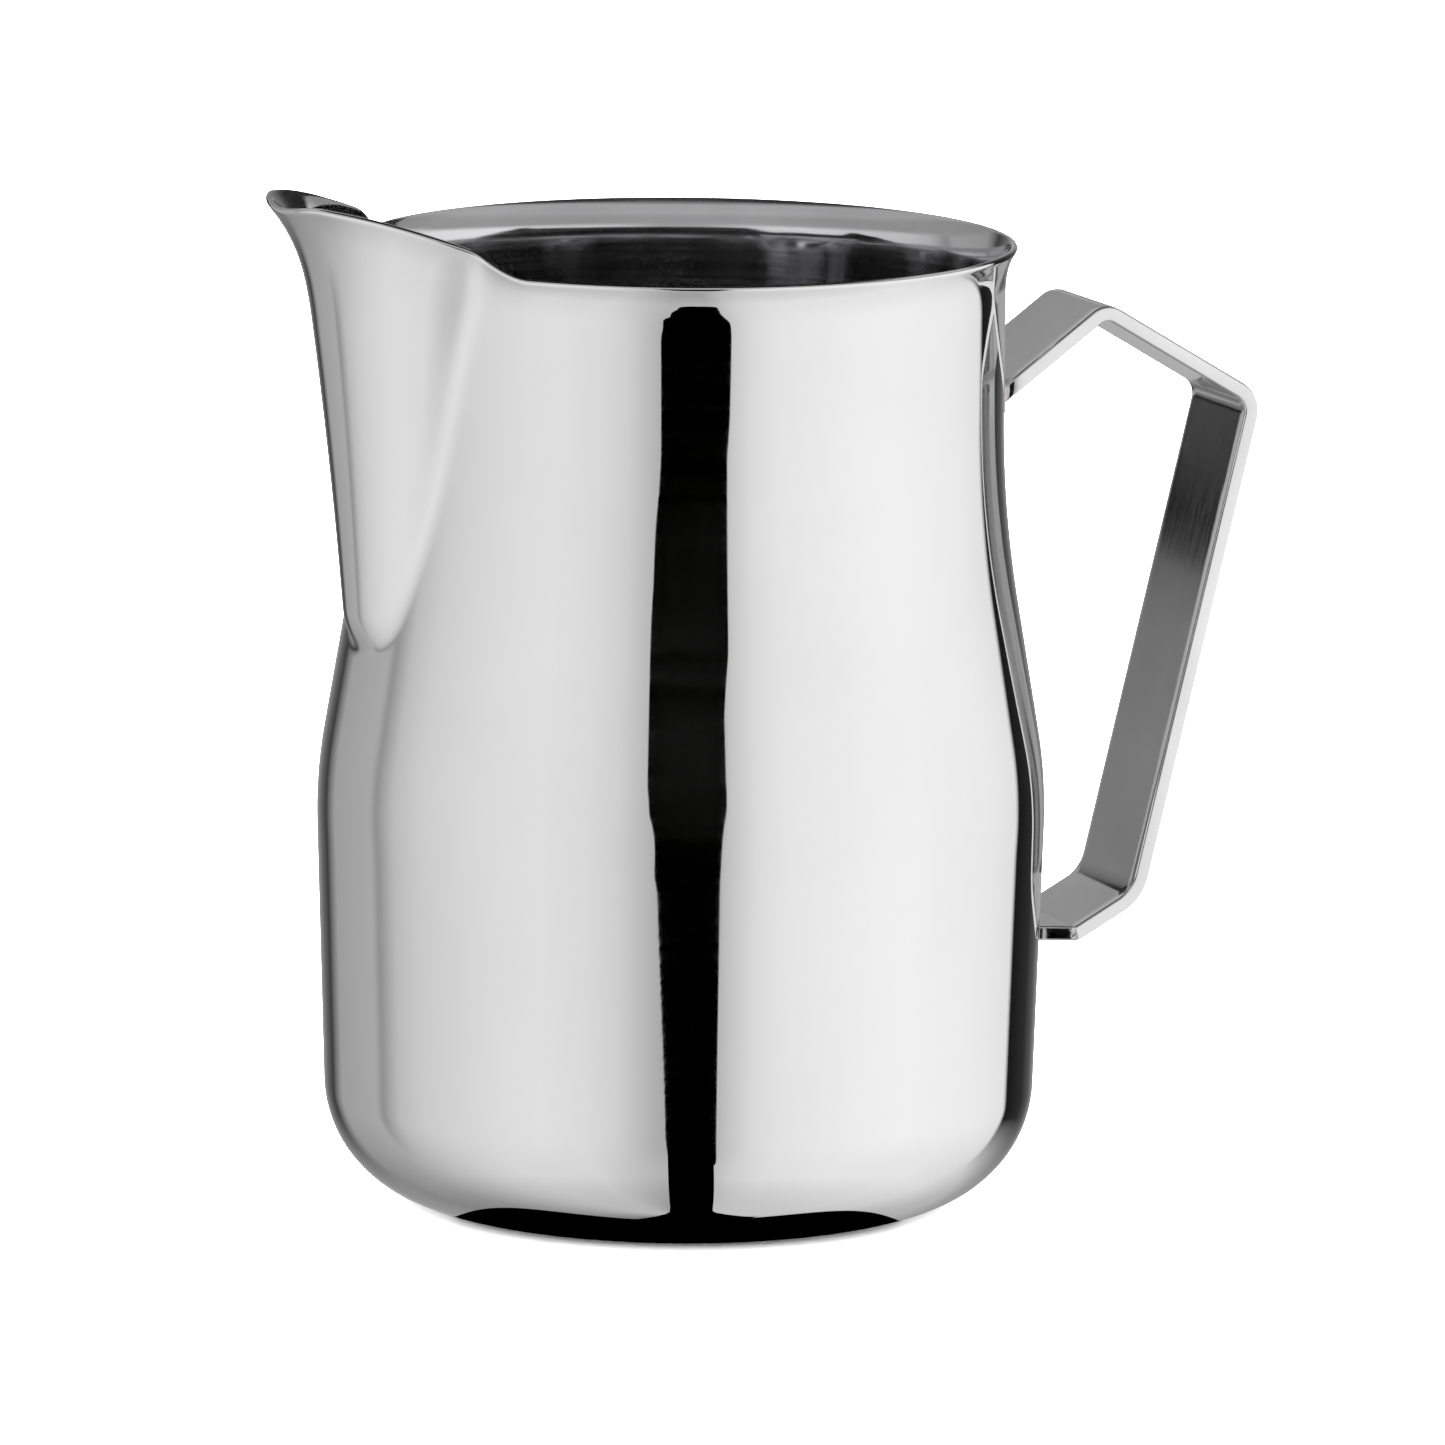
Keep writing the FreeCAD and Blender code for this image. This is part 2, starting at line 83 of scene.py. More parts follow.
GAUGE = 0.9
HEEL_RADIUS, HEEL_BEND = 46.4, 16.0
SHOULDER_RADIUS, SHOULDER_HEIGHT, SHOULDER_BEND = 48.15, 56.3, 65.0
NECK_RADIUS, NECK_HEIGHT, NECK_BEND = 42.0, 92.5, 150.0
RIM, RIM_FLARE, RIM_FLARE_DEPTH = 127.0, 1.7, 7.0
SPOUT_RISE, SPOUT_SPAN, SPOUT_CROWN, SPOUT_CROWN_ROUND = 7.9, math.radians(41.0), 2.0, 3.0
SPOUT_DROOP, SPOUT_DROOP_SPAN = 1.1, math.radians(10.0)
FOOT, FOOT_REACH, LEAN, BOW, FOOT_ROLL, FOOT_DROP = 75.5, 46.45, 0.072, 0.00072, 5.0, 1.2
NOSE_LOW, NOSE_HIGH = 11.5, 21.5
FLANK_LOW, FLANK_HIGH = 36.5, 21.2
VALLEY_LOW, VALLEY_HIGH = 1.3, 2.8
SPOUT_FLARE, SPOUT_FLARE_DEPTH, SPOUT_FLARE_FOCUS = 4.25, 17.4, 10.0
STRETCH_FROM = 100.0
STEEPEST_LEAN = math.pi / 2 - 0.05
NUDGE = 1e-4


def rounded_corner(before, corner, after, radius):
    """Centre and the two tangent points of an arc that rounds a corner of the outline."""
    before, corner, after = (np.array(point, float) for point in (before, corner, after))
    towards_before = (before - corner) / np.linalg.norm(before - corner)
    towards_after = (after - corner) / np.linalg.norm(after - corner)
    half_angle = math.acos(float(towards_before @ towards_after)) / 2
    middle = towards_before + towards_after
    centre = corner + middle / np.linalg.norm(middle) * (radius / math.sin(half_angle))
    setback = radius / math.tan(half_angle)
    return centre, corner + towards_before * setback, corner + towards_after * setback


HEEL = (HEEL_RADIUS, 0.0)
SHOULDER = (SHOULDER_RADIUS, SHOULDER_HEIGHT)
NECK = (NECK_RADIUS, NECK_HEIGHT)
HEEL_ARC = rounded_corner((0, 0), HEEL, SHOULDER, HEEL_BEND)
SHOULDER_ARC = rounded_corner(HEEL, SHOULDER, NECK, SHOULDER_BEND)
NECK_ARC = rounded_corner(SHOULDER, NECK, (NECK_RADIUS, RIM), NECK_BEND)


def on_line(start, end, height):
    return start[0] + (end[0] - start[0]) * (height - start[1]) / (end[1] - start[1])


def on_arc(arc, bend, height):
    centre, _, second = arc
    side = math.copysign(1.0, second[0] - centre[0])
    return centre[0] + side * np.sqrt(np.maximum(bend ** 2 - (height - centre[1]) ** 2, 0.0))


def round_radius(height):
    """Outer radius of the round shell, without spout and rim flare."""
    return np.select(
        [height < HEEL_ARC[2][1], height < SHOULDER_ARC[1][1], height < SHOULDER_ARC[2][1],
         height < NECK_ARC[1][1], height < NECK_ARC[2][1]],
        [on_arc(HEEL_ARC, HEEL_BEND, height), on_line(HEEL, SHOULDER, height),
         on_arc(SHOULDER_ARC, SHOULDER_BEND, height), on_line(SHOULDER, NECK, height),
         on_arc(NECK_ARC, NECK_BEND, height)], NECK_RADIUS)


def spout_share(angle):
    """1 at the spout's tip, falling smoothly to 0 where the rim is level."""
    return np.maximum(0.0, 1 - np.minimum(angle / SPOUT_SPAN, 1.0) ** SPOUT_CROWN_ROUND) ** SPOUT_CROWN


def ridge_reach(height):
    above = height - FOOT
    roll = np.maximum(0.0, 1 - above / FOOT_ROLL)
    return FOOT_REACH + LEAN * above + BOW * above ** 2 - FOOT_DROP * roll ** 2


def between(low, high, height):
    return low + (high - low) * (height - FOOT) / (RIM - FOOT)


def spout_radius(angle, height):
    """Radius of a round nose with two straight flanks, seen from the pitcher's axis."""
    nose = between(NOSE_LOW, NOSE_HIGH, height)
    centre = ridge_reach(height) - nose
    facing = np.radians(90 - between(FLANK_LOW, FLANK_HIGH, height))
    tangent_angle = np.arctan2(nose * np.sin(facing), centre + nose * np.cos(facing))
    inside = np.maximum(nose ** 2 - (centre * np.sin(angle)) ** 2, 0.0)
    on_nose = centre * np.cos(angle) + np.sqrt(inside)
    lean = np.minimum(angle - facing, STEEPEST_LEAN)
    on_flank = (nose + centre * np.cos(facing)) / np.cos(lean)
    on_flank = np.where(angle - facing > STEEPEST_LEAN, 0.0, on_flank)
    return np.where(angle < tangent_angle, on_nose, on_flank)


def section_radius(angle, height):
    """Outer radius of the shell, spout included, without the lip's flare."""
    body = round_radius(height)
    spout = spout_radius(angle, height)
    softness = np.maximum(between(VALLEY_LOW, VALLEY_HIGH, height), VALLEY_LOW)
    overlap = np.maximum(softness - np.abs(body - spout), 0.0) / softness
    joined = np.maximum(body, spout) + overlap ** 3 * softness / 6
    return np.where((height <= FOOT - FOOT_ROLL) | (angle > math.pi / 2), body, joined)


HEEL_TURN = math.pi / 2 + math.atan2(HEEL_RADIUS - SHOULDER_RADIUS, SHOULDER_HEIGHT)
HEEL_LENGTH = HEEL_BEND * HEEL_TURN
HEEL_CENTRE = HEEL_ARC[0][0]
BELLY_START = float(HEEL_ARC[2][1])
CLIMB_TOP = RIM - BELLY_START


def outer_point(angle, climb):
    """Points of the outer skin; climb is 0 where the belly starts and negative round the heel."""
    side = np.abs(angle)
    share = spout_share(side)
    droop = np.maximum(0.0, 1 - (side / SPOUT_DROOP_SPAN) ** 2) ** 2
    edge = RIM + SPOUT_RISE * share - SPOUT_DROOP * droop
    height = BELLY_START + np.maximum(climb, 0.0)
    stretched = STRETCH_FROM + (height - STRETCH_FROM) * (edge - STRETCH_FROM) / (RIM - STRETCH_FROM)
    height = np.where(height > STRETCH_FROM, stretched, height)
    radius = section_radius(side, height)
    before = section_radius(np.abs(angle - NUDGE), height)
    after = section_radius(np.abs(angle + NUDGE), height)
    slope = (after - before) / (2 * NUDGE)
    outward_x = slope * np.sin(angle) + radius * np.cos(angle)
    outward_y = radius * np.sin(angle) - slope * np.cos(angle)
    length = np.hypot(outward_x, outward_y)
    depth = RIM_FLARE_DEPTH + (SPOUT_FLARE_DEPTH - RIM_FLARE_DEPTH) * share
    reach = RIM_FLARE + (SPOUT_FLARE - RIM_FLARE) * share ** SPOUT_FLARE_FOCUS
    turned_out = reach * np.maximum(0.0, 1 - (edge - height) / depth) ** 3
    turn = HEEL_TURN + np.minimum(climb, 0.0) / HEEL_BEND
    heel = HEEL_CENTRE + HEEL_BEND * np.sin(turn)
    low = climb < 0
    wall_x = -radius * np.cos(angle) - turned_out * outward_x / length
    wall_y = radius * np.sin(angle) + turned_out * outward_y / length
    x = np.where(low, -heel * np.cos(angle), wall_x)
    y = np.where(low, heel * np.sin(angle), wall_y)
    z = np.where(low, HEEL_BEND * (1 - np.cos(turn)), height)
    return np.stack([x, y, z], axis=-1)


def unit(vectors):
    return vectors / np.linalg.norm(vectors, axis=-1, keepdims=True)


def outer_frame(angle, climb):
    """Points of the outer skin with their normals and the direction up the wall."""
    around = outer_point(angle + NUDGE, climb) - outer_point(angle - NUDGE, climb)
    upward = outer_point(angle, climb + NUDGE) - outer_point(angle, climb - NUDGE)
    return outer_point(angle, climb), unit(np.cross(upward, around)), unit(upward)


def closed_grid(name, rings, material_of_row):
    """Closed mesh of rings that share their point count; the first and last ring are points."""
    count = rings[0].shape[0]
    vertices = np.concatenate([rings[0][:1]] + rings[1:-1] + [rings[-1][:1]]) * MM
    first_ring = 1
    faces, slots = [], []
    column = np.arange(count)
    following = (column + 1) % count
    neighbours = list(zip(column.tolist(), following.tolist()))
    faces += [(0, first_ring + b, first_ring + a) for a, b in neighbours]
    slots += [material_of_row[0]] * count
    for row in range(len(rings) - 3):
        low = first_ring + row * count
        high = low + count
        quads = np.stack([low + column, low + following, high + following, high + column], axis=1)
        faces += quads.tolist()
        slots += [material_of_row[row + 1]] * count
    last = len(vertices) - 1
    low = last - count
    faces += [(low + a, low + b, last) for a, b in neighbours]
    slots += [material_of_row[-1]] * count
    mesh = bpy.data.meshes.new(name)
    mesh.from_pydata(vertices.tolist(), [], faces)
    mesh.polygons.foreach_set("material_index", slots)
    mesh.polygons.foreach_set("use_smooth", [True] * len(faces))
    mesh.update()
    piece = bpy.data.objects.new(name, mesh)
    scene.collection.objects.link(piece)
    return piece


HALF_COLUMNS = 300
EVEN_PART, CROWDED_PART, CROWDING = 0.55, 0.45, 2.2
SPOUT_START = FOOT - 9 - BELLY_START
SPOUT_SHAPED = FOOT + 12 - BELLY_START
LIP_START = 112 - BELLY_START
HEEL_ROWS, BELLY_ROWS, FOOT_ROWS, NECK_ROWS, LIP_ROWS = 33, 45, 50, 26, 50
LIP_STEPS = 8
DISC_STEPS = 12
OUTSIDE, INSIDE = 0, 1


def columns():
    """Angles round the shell, crowded towards the spout."""
    share = np.arange(HALF_COLUMNS + 1) / HALF_COLUMNS
    angles = math.pi * (EVEN_PART * share + CROWDED_PART * share ** CROWDING)
    return np.concatenate([-angles[::-1][:-1], angles[:-1]])


angles = columns()
wall_top = CLIMB_TOP - GAUGE / 2
climbs = np.concatenate([
    np.linspace(-HEEL_LENGTH, 0, HEEL_ROWS), np.linspace(0, SPOUT_START, BELLY_ROWS)[1:],
    np.linspace(SPOUT_START, SPOUT_SHAPED, FOOT_ROWS)[1:],
    np.linspace(SPOUT_SHAPED, LIP_START, NECK_ROWS)[1:],
    np.linspace(LIP_START, wall_top, LIP_ROWS)[1:]])
points, normals, upward = outer_frame(angles[None, :], climbs[:, None])
inner = points - normals * GAUGE
points[0, :, 2] = 0.0
inner[0, :, 2] = GAUGE
rim_points, rim_normals, rim_up = points[-1], normals[-1], upward[-1]
lip = []
for step in range(1, LIP_STEPS):
    turn = math.pi * step / LIP_STEPS
    lip.append(rim_points - rim_normals * (GAUGE / 2 * (1 - math.cos(turn)))
               + rim_up * (GAUGE / 2 * math.sin(turn)))
shrinks = [np.array([step / DISC_STEPS, step / DISC_STEPS, 1.0]) for step in range(DISC_STEPS)]
discs = [points[0] * shrink for shrink in shrinks]
floor_discs = [inner[0] * shrink for shrink in shrinks]
rings = discs + list(points) + lip + list(inner[::-1]) + floor_discs[::-1]
outside_rows = len(discs) + len(points) + len(lip) // 2
body_rows = [OUTSIDE if row < outside_rows else INSIDE for row in range(len(rings) - 1)]
body = closed_grid("pitcher_shell", rings, body_rows)


# ---------------------------------------------------------------- handle: bent bar with broken edges

STRIP, STRIP_WIDTH, EDGE_ROUND = 2.0, 18.0, 0.35
CREST, ELBOW, KNEE, TOE = (56.3, 118.0), (79.1, 104.5), (62.8, 37.3), (53.5, 32.2)
CREST_SLOPE, TOE_TAPER = math.radians(36.3), math.radians(24)
BENDS = (3.5, 4.5, 7.0, 3.5)
IN_WALL = 0.45
CLEAR_OF_WALL = 1.2
BURIED_REACH = 38.0
TAPER_BELOW = 45
STRAIGHT_STATIONS, BEND_STATIONS = 14, 16
CORNER_STEPS, FACE_STEPS = 4, 11


def bent_line():
    """Stations along the bar's outer line: place, unit direction."""
    start = (BURIED_REACH, CREST[1] - (CREST[0] - BURIED_REACH) * math.tan(CREST_SLOPE))
    corners = [start, CREST, ELBOW, KNEE, TOE, (BURIED_REACH, TOE[1])]
    places, directions = [], []

    def add(place, direction):
        places.append(np.array(place))
        directions.append(np.array(direction))

    def straight(begin, end):
        direction = unit(np.array(end) - np.array(begin))
        for share in np.linspace(0, 1, STRAIGHT_STATIONS):
            add(np.array(begin) + (np.array(end) - np.array(begin)) * share, direction)

    arcs = [rounded_corner(*corners[i:i + 3], BENDS[i]) for i in range(4)]
    begin = np.array(start)
    for centre, first, second in arcs:
        straight(begin, first)
        spoke = (first - centre) / np.linalg.norm(first - centre)
        sweep = math.acos(float(spoke @ ((second - centre) / np.linalg.norm(second - centre))))
        for share in np.linspace(0, 1, BEND_STATIONS)[1:-1]:
            turn = -sweep * share
            turned = np.array([spoke[0] * math.cos(turn) - spoke[1] * math.sin(turn),
                               spoke[0] * math.sin(turn) + spoke[1] * math.cos(turn)])
            add(centre + turned * np.linalg.norm(first - centre), (turned[1], -turned[0]))
        begin = second
    straight(begin, corners[-1])
    return np.array(places), np.array(directions)


def bar_section():
    """Rounded section of the bar: pairs of side offset and depth below the outer line, once round."""
    shallow, deep = EDGE_ROUND, STRIP - EDGE_ROUND
    outline = []
    for side, depth, start, face_follows in ((1, shallow, 0, True), (-1, shallow, 90, False),
                                             (-1, deep, 180, True), (1, deep, 270, False)):
        centre = side * (0.5 * STRIP_WIDTH - EDGE_ROUND)
        for step in range(CORNER_STEPS + 1):
            turn = math.radians(start + 90 * step / CORNER_STEPS)
            outline.append((centre + EDGE_ROUND * math.cos(turn), depth - EDGE_ROUND * math.sin(turn)))
        if face_follows:
            edge, level = outline[-1]
            for share in np.linspace(0, 1, FACE_STEPS + 1)[1:-1]:
                outline.append((edge * (1 - 2 * share), level))
    return np.array(outline)


places, directions = bent_line()
section = bar_section()
sections = []
for place, direction in zip(places, directions):
    inward = np.array([direction[1], -direction[0]])
    width = section[:, 0].copy()
    if place[1] < TAPER_BELOW and place[0] < TOE[0]:
        narrow = STRIP_WIDTH / 2 - (TOE[0] - place[0]) * math.tan(TOE_TAPER)
        rounding = (STRIP_WIDTH / 2 - np.abs(width)).clip(0, EDGE_ROUND)
        width = np.sign(width) * np.minimum(np.abs(width), narrow - rounding)
    sections.append(np.stack([place[0] + inward[0] * section[:, 1], width,
                              place[1] + inward[1] * section[:, 1]], axis=1))
sections = np.array(sections)


def trim_to_wall(ring, slope):
    """Slides a ring's points along the bar to just inside the wall's outer face."""
    wall = round_radius(ring[:, 2]) - IN_WALL
    reach = np.sqrt(wall ** 2 - ring[:, 1] ** 2)
    ring[:, 2] += (reach - ring[:, 0]) * slope
    ring[:, 0] = reach


outside_wall = [i for i, place in enumerate(places)
                if place[0] > round_radius(np.array(place[1])) + CLEAR_OF_WALL]
bar_rings = [sections[i] for i in range(outside_wall[0] - 1, outside_wall[-1] + 2)]
trim_to_wall(bar_rings[0], math.tan(CREST_SLOPE))
trim_to_wall(bar_rings[-1], 0.0)
start_cap = np.repeat(bar_rings[0].mean(axis=0)[None, :], len(section), axis=0)
end_cap = np.repeat(bar_rings[-1].mean(axis=0)[None, :], len(section), axis=0)
bar_rings = [start_cap] + bar_rings + [end_cap]
handle = closed_grid("handle_bar", bar_rings, [0] * (len(bar_rings) - 1))


# ---------------------------------------------------------------- materials

def material(name):
    made = bpy.data.materials.new(name)
    made.use_nodes = True
    made.node_tree.nodes.clear()
    return made


CLOUD_SCALE, CLOUD_DETAIL, LINE_DETAIL = 34.0, 5.0, 3.0
STAIN_UP_TO, CLEAN_FROM = 0.3, 0.62
SMOOTH_UP_TO, ROUGH_FROM = 0.12, 0.40
LINE_RELIEF = 0.00002


def steel(name, colour, stain, roughness, spread, line_scale, bump):
    """Stainless steel with faint tone clouds, uneven polish and fine lines drawn out by line_scale."""
    made = material(name)
    nodes, links = made.node_tree.nodes, made.node_tree.links
    output = nodes.new("ShaderNodeOutputMaterial")
    shader = nodes.new("ShaderNodeBsdfPrincipled")
    shader.inputs["Metallic"].default_value = 1.0
    links.new(shader.outputs["BSDF"], output.inputs["Surface"])
    place = nodes.new("ShaderNodeTexCoord")
    lines_place = nodes.new("ShaderNodeMapping")
    lines_place.inputs["Scale"].default_value = line_scale
    links.new(place.outputs["Object"], lines_place.inputs["Vector"])
    lines = nodes.new("ShaderNodeTexNoise")
    lines.inputs["Scale"].default_value = 1.0
    lines.inputs["Detail"].default_value = LINE_DETAIL
    links.new(lines_place.outputs["Vector"], lines.inputs["Vector"])
    clouds = nodes.new("ShaderNodeTexNoise")
    clouds.inputs["Scale"].default_value = CLOUD_SCALE
    clouds.inputs["Detail"].default_value = CLOUD_DETAIL
    links.new(place.outputs["Object"], clouds.inputs["Vector"])
    tone = nodes.new("ShaderNodeValToRGB")
    tone.color_ramp.elements[0].position = STAIN_UP_TO
    tone.color_ramp.elements[0].color = (*stain, 1)
    tone.color_ramp.elements[1].position = CLEAN_FROM
    tone.color_ramp.elements[1].color = (*colour, 1)
    links.new(clouds.outputs["Fac"], tone.inputs["Fac"])
    links.new(tone.outputs["Color"], shader.inputs["Base Color"])
    mixed = nodes.new("ShaderNodeMath")
    mixed.operation = "MULTIPLY"
    links.new(lines.outputs["Fac"], mixed.inputs[0])
    links.new(clouds.outputs["Fac"], mixed.inputs[1])
    rough = nodes.new("ShaderNodeMapRange")
    rough.inputs["From Min"].default_value = SMOOTH_UP_TO
    rough.inputs["From Max"].default_value = ROUGH_FROM
    rough.inputs["To Min"].default_value = roughness
    rough.inputs["To Max"].default_value = roughness + spread
    links.new(mixed.outputs["Value"], rough.inputs["Value"])
    links.new(rough.outputs["Result"], shader.inputs["Roughness"])
    relief = nodes.new("ShaderNodeBump")
    relief.inputs["Strength"].default_value = bump
    relief.inputs["Distance"].default_value = LINE_RELIEF
    links.new(lines.outputs["Fac"], relief.inputs["Height"])
    links.new(relief.outputs["Normal"], shader.inputs["Normal"])
    return made


polished = steel("polished_steel", colour=(0.82, 0.82, 0.82), stain=(0.79, 0.79, 0.79),
                 roughness=0.02, spread=0.03, line_scale=(40, 40, 900), bump=0.15)
satin = steel("satin_inside", colour=(0.66, 0.66, 0.67), stain=(0.58, 0.58, 0.59),
              roughness=0.05, spread=0.07, line_scale=(30, 30, 1600), bump=0.3)
bar_steel = steel("bar_steel", colour=(0.8, 0.8, 0.8), stain=(0.72, 0.72, 0.72),
                  roughness=0.05, spread=0.08, line_scale=(160, 1800, 160), bump=0.3)
weld_steel = steel("weld_steel", colour=(0.6, 0.59, 0.57), stain=(0.42, 0.38, 0.34),
                   roughness=0.2, spread=0.2, line_scale=(900, 900, 900), bump=0.8)

body.data.materials.append(polished)
body.data.materials.append(satin)
handle.data.materials.append(bar_steel)
for node in ("upper_weld", "lower_weld"):
    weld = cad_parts[node]
    weld.data.materials.clear()
    weld.data.materials.append(weld_steel)

for piece, node, slot in ((body, "pitcher_body", "polished_steel"),
                          (handle, "handle_strip", "handle_steel")):
    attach(piece, RIDES_ON)
    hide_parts(node)


# ---------------------------------------------------------------- studio: floor, light and cards

def plain_material(name, colour, emission=0.0):
    """Matt material of one colour, or a glowing one, for the studio only."""
    made = material(name)
    nodes, links = made.node_tree.nodes, made.node_tree.links
    output = nodes.new("ShaderNodeOutputMaterial")
    if emission:
        shader = nodes.new("ShaderNodeEmission")
        shader.inputs["Color"].default_value = (*colour, 1)
        shader.inputs["Strength"].default_value = emission
    else:
        shader = nodes.new("ShaderNodeBsdfDiffuse")
        shader.inputs["Color"].default_value = (*colour, 1)
    links.new(shader.outputs[0], output.inputs["Surface"])
    return made


def stage_mesh(name, corners, faces, made):
    """Piece of the studio, which isn't part of the pitcher."""
    mesh = bpy.data.meshes.new(name)
    mesh.from_pydata([tuple(corner) for corner in corners], [], faces)
    mesh.materials.append(made)
    thing = bpy.data.objects.new(name, mesh)
    scene.collection.objects.link(thing)
    return thing


def card(name, edges, made):
    """Reflector card that only the steel sees: a ribbon between pairs of edge points."""
    corners = [point for pair in edges for point in pair]
    faces = [(2 * i, 2 * i + 1, 2 * i + 3, 2 * i + 2) for i in range(len(edges) - 1)]
    thing = stage_mesh(name, corners, faces, made)
    thing.visible_camera = False
    thing.visible_diffuse = False
    thing.visible_shadow = False
    thing.visible_transmission = False
    return thing


FLOOR_REACH = 9.0
FLOOR_CORNERS = 96
FLOOR_COLOUR = (0.93, 0.93, 0.93)
floor_turns = [math.tau * i / FLOOR_CORNERS for i in range(FLOOR_CORNERS)]
floor_edge = [staged(FLOOR_REACH * math.cos(turn), FLOOR_REACH * math.sin(turn), 0)
              for turn in floor_turns]
floor = stage_mesh("floor", floor_edge, [tuple(range(FLOOR_CORNERS))],
                   plain_material("pale_floor", FLOOR_COLOUR))
floor.visible_glossy = False
black = plain_material("black_card", (0.0, 0.0, 0.0), 1.0)

# Dark gap in the bright studio, which the body mirrors as its central stripe.
# Each stop gives a height, the left edge and the right edge, in metres.
DARK_GAP = ((-0.290, 0.030, 0.070), (-0.286, 0.008, 0.092), (-0.278, -0.008, 0.104),
            (-0.262, -0.018, 0.109), (-0.230, -0.024, 0.110), (-0.180, -0.027, 0.108),
            (-0.118, -0.029, 0.105), (-0.102, -0.033, 0.104), (-0.092, -0.040, 0.1045),
            (-0.082, -0.048, 0.105), (-0.070, -0.058, 0.106), (-0.046, -0.067, 0.106),
            (0.015, -0.066, 0.109), (0.037, -0.068, 0.111), (0.055, -0.071, 0.114),
            (0.075, -0.080, 0.118), (0.095, -0.084, 0.123), (0.114, -0.0845, 0.1225),
            (0.133, -0.089, 0.124), (0.152, -0.091, 0.118), (0.165, -0.091, 0.118))
GAP_REACH = 0.5
GAP_ROWS = 220
GAP_SOFTENING = 4.0
SOFTENING_ROWS = 12
SOFT_ABOVE = -0.25


def softened(heights, stops, side):
    """Edge of the gap at each height, with its corners rounded off except near its lower end."""
    edge = np.interp(heights, [stop[0] for stop in stops], [stop[side] for stop in stops])
    offsets = np.arange(-SOFTENING_ROWS, SOFTENING_ROWS + 1)
    weights = np.exp(-0.5 * (offsets / GAP_SOFTENING) ** 2)
    padded = np.concatenate([np.full(SOFTENING_ROWS, edge[0]), edge, np.full(SOFTENING_ROWS, edge[-1])])
    smooth = np.convolve(padded, weights / weights.sum(), mode="valid")
    return np.where(heights < SOFT_ABOVE, edge, smooth)


def facing_edges(stops, reach):
    """Left and right edge points of an upright card at one distance in front of the pitcher."""
    return [(staged(left, -reach, height), staged(right, -reach, height))
            for height, left, right in stops]


gap_heights = np.linspace(DARK_GAP[0][0], DARK_GAP[-1][0], GAP_ROWS)
gap_stops = zip(gap_heights, softened(gap_heights, DARK_GAP, 1), softened(gap_heights, DARK_GAP, 2))
card("centre_dark_card", facing_edges(gap_stops, GAP_REACH), black)

# Closer card that rounds the stripe's top end: height, left edge and right edge, in metres.
NECK_GAP = ((0.112, -0.0108, 0.0294), (0.104, -0.0106, 0.0291), (0.098, -0.0103, 0.0287),
            (0.0945, -0.0100, 0.0278), (0.088, -0.0096, 0.0252), (0.083, -0.0092, 0.0237),
            (0.077, -0.0086, 0.0228), (0.070, -0.0062, 0.0227), (0.066, -0.0030, 0.0217),
            (0.0635, 0.000, 0.0198), (0.0615, 0.004, 0.0160))
NECK_GAP_REACH = 0.12
card("neck_dark_card", facing_edges(NECK_GAP, NECK_GAP_REACH), black)

# Curved dark screen just above the rim, which the inside of the far rim mirrors.
# Each stop gives a turn in degrees from the camera's side towards its right, and the top edge in metres.
MOUTH_SCREEN = ((-130, 0.127), (-100, 0.136), (-90, 0.131), (-50, 0.131), (-35, 0.1385),
                (100, 0.1385), (130, 0.127))
MOUTH_REACH, MOUTH_LOW = 0.038, 0.1268
MOUTH_STEP = 5
screen_turns, screen_tops = zip(*MOUTH_SCREEN)
mouth_edges = []
for turn in range(screen_turns[0], screen_turns[-1] + 1, MOUTH_STEP):
    right = MOUTH_REACH * math.sin(math.radians(turn))
    away = -MOUTH_REACH * math.cos(math.radians(turn))
    top = float(np.interp(turn, screen_turns, screen_tops))
    mouth_edges.append((staged(right, away, MOUTH_LOW), staged(right, away, top)))
card("mouth_dark_card", mouth_edges, black)

# The stripe's foot close in front of the heel: distance, height, left edge and right edge, in metres.
HEEL_GAP = ((0.0410, 0.00001, -0.0076, 0.0118), (0.0420, 0.00010, -0.0052, 0.0093),
            (0.0430, 0.00025, -0.0030, 0.0072), (0.0437, 0.00060, -0.0017, 0.0058),
            (0.0442, 0.00150, -0.0011, 0.0052), (0.0450, 0.00400, -0.0010, 0.0051),
            (0.0485, 0.01500, -0.0014, 0.0049))
card("heel_dark_card", [(staged(left, -reach, height), staged(right, -reach, height))
                        for reach, height, left, right in HEEL_GAP], black)

# Shade under the heel: a rounded patch of the floor that the heel mirrors as a dark crescent.
SHADE_REACH, SHADE_HALF_WIDTH, SHADE_BACK, SHADE_CORNER = 0.042, 0.0295, 0.010, 0.33
SHADE_LIFT = 0.00001
SHADE_TURN, SHADE_STEP = 88, 4
shade = []
for turn in range(-SHADE_TURN, SHADE_TURN + 1, SHADE_STEP):
    across = SHADE_HALF_WIDTH * math.sin(math.radians(turn))
    front = SHADE_REACH * math.cos(math.radians(turn)) ** SHADE_CORNER
    shade.append((staged(across, -front, SHADE_LIFT), staged(across, SHADE_BACK, SHADE_LIFT)))
card("base_shade_card", shade, black)

# Graded card that the inner face of the grip mirrors: height in metres and brightness. The card lies
# along the direction in which the camera's rays leave that face.
GRIP_TONES = ((0.030, 0.24), (0.0515, 0.235), (0.0595, 0.225), (0.0675, 0.205), (0.0765, 0.18),
              (0.0845, 0.125), (0.0875, 0.03), (0.0925, 0.004), (0.0965, 0.02), (0.110, 0.065))
GRIP_VIEW = Vector((-0.399, 0.917, 0.015))
GRIP_ACROSS = Vector((0.917, 0.399, 0.0))
GRIP_CARD_REACH, GRIP_CARD_HALF = 0.12, 0.017


def fill_ramp(ramp, stops):
    """Grey stops of a colour ramp, given as position and level."""
    elements = ramp.color_ramp.elements
    while len(elements) < len(stops):
        elements.new(0.5)
    for element, (position, level) in zip(elements, stops):
        element.position = position
        element.color = (level, level, level, 1)


